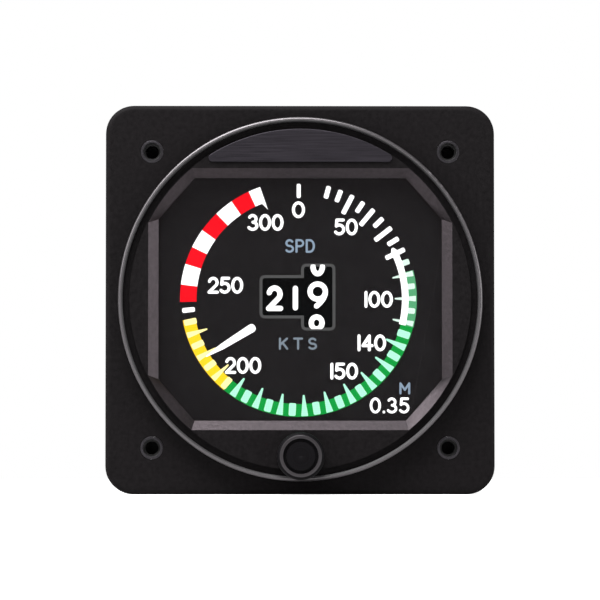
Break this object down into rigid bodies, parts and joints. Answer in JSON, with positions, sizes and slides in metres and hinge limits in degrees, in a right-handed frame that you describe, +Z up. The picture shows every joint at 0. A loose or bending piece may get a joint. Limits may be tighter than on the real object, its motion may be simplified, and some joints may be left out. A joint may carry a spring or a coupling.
{
  "type": "digital airspeed indicator",
  "caption": "Panel instrument with a square flange, round boss and octagonal display window, a push-and-turn knob, a round case and rear air and electrical fittings.",
  "frame": {"origin": "centre of the four panel screw holes, on the flange's front face where the panel seats", "axes": "-Y out of the dial towards the reader, +X to the reader's right, +Z up"},
  "size_m": [0.0826, 0.1253, 0.0826],
  "materials": {
    "black_casting": "black anodised, fine matt",
    "case_finish": "black anodised, satin",
    "ring_finish": "grey anodised bead, satin",
    "plate_finish": "dark grey anodised, bare",
    "knob_finish": "black anodised, knurled",
    "insert_steel": "dark passivated",
    "screw_steel": "passivated",
    "shaft_steel": "ground",
    "brass": "turned",
    "seal_rubber": "matt",
    "window_glass": "anti-reflection coated",
    "display_glass": "dark",
    "film": "polished",
    "moulded_black": "moulded",
    "board_laminate": "solder mask",
    "flex_film": "amber film",
    "plain_aluminium": "machined",
    "winding": "taped winding",
    "connector_plating": "olive-grey plated",
    "gold_plating": "gold plated",
    "wire_cover": "extruded"
  },
  "bodies": {
    "root": {"front_bezel": "black_casting", "case_tube": "case_finish", "rear_cover": "case_finish", "bezel_ring": "ring_finish", "badge_plate": "plate_finish", "threaded_inserts": "insert_steel", "front_case_screws": "screw_steel", "rear_case_screws": "screw_steel", "carrier_screws": "screw_steel", "encoder_screws": "screw_steel", "board_screws": "screw_steel", "connector_screws": "screw_steel", "detent_spring": "shaft_steel", "push_switch_dome": "shaft_steel", "shaft_bushing": "brass", "pitot_port": "brass", "static_port": "brass", "port_nuts": "brass", "ground_stud": "brass", "ground_hardware": "brass", "window_gasket": "seal_rubber", "shaft_seal": "seal_rubber", "port_seals": "seal_rubber", "connector_gasket": "seal_rubber", "pitot_hose": "seal_rubber", "static_hose": "seal_rubber", "cover_glass": "window_glass", "lcd_front_glass": "display_glass", "lcd_rear_glass": "display_glass", "polariser_films": "film", "diffuser_sheet": "film", "light_guide": "film", "display_frame": "moulded_black", "encoder_housing": "moulded_black", "driver_chips": "moulded_black", "processor_chips": "moulded_black", "stacking_headers": "moulded_black", "connector_insert": "moulded_black", "wiring_plug": "moulded_black", "pitot_sensor": "moulded_black", "static_sensor": "moulded_black", "display_board": "board_laminate", "processor_board": "board_laminate", "power_board": "board_laminate", "encoder_board": "board_laminate", "led_strip": "board_laminate", "display_flex": "flex_film", "carrier_plate": "plain_aluminium", "front_posts": "plain_aluminium", "middle_posts": "plain_aluminium", "rear_posts": "plain_aluminium", "capacitors": "plain_aluminium", "power_transformer": "winding", "connector_shell": "connector_plating", "connector_pins": "gold_plating", "connector_wires": "wire_cover"},
    "detent_rotor": {"encoder_rotor": "shaft_steel"},
    "knob_and_shaft": {"knob": "knob_finish", "knob_set_screw": "screw_steel", "encoder_shaft": "shaft_steel"}
  },
  "joints": [
    {"name": "knob_turn", "type": "hinge", "parent": "root", "child": "detent_rotor", "pos_m": [0, 0.0035, -0.0332], "axis": [0, 1, 0], "continuous": true},
    {"name": "knob_push", "type": "slide", "parent": "detent_rotor", "child": "knob_and_shaft", "axis": [0, 1, 0], "range_m": [0, 0.0005], "stiffness_N_per_m": 2000, "springref_m": -0.0008}
  ]
}
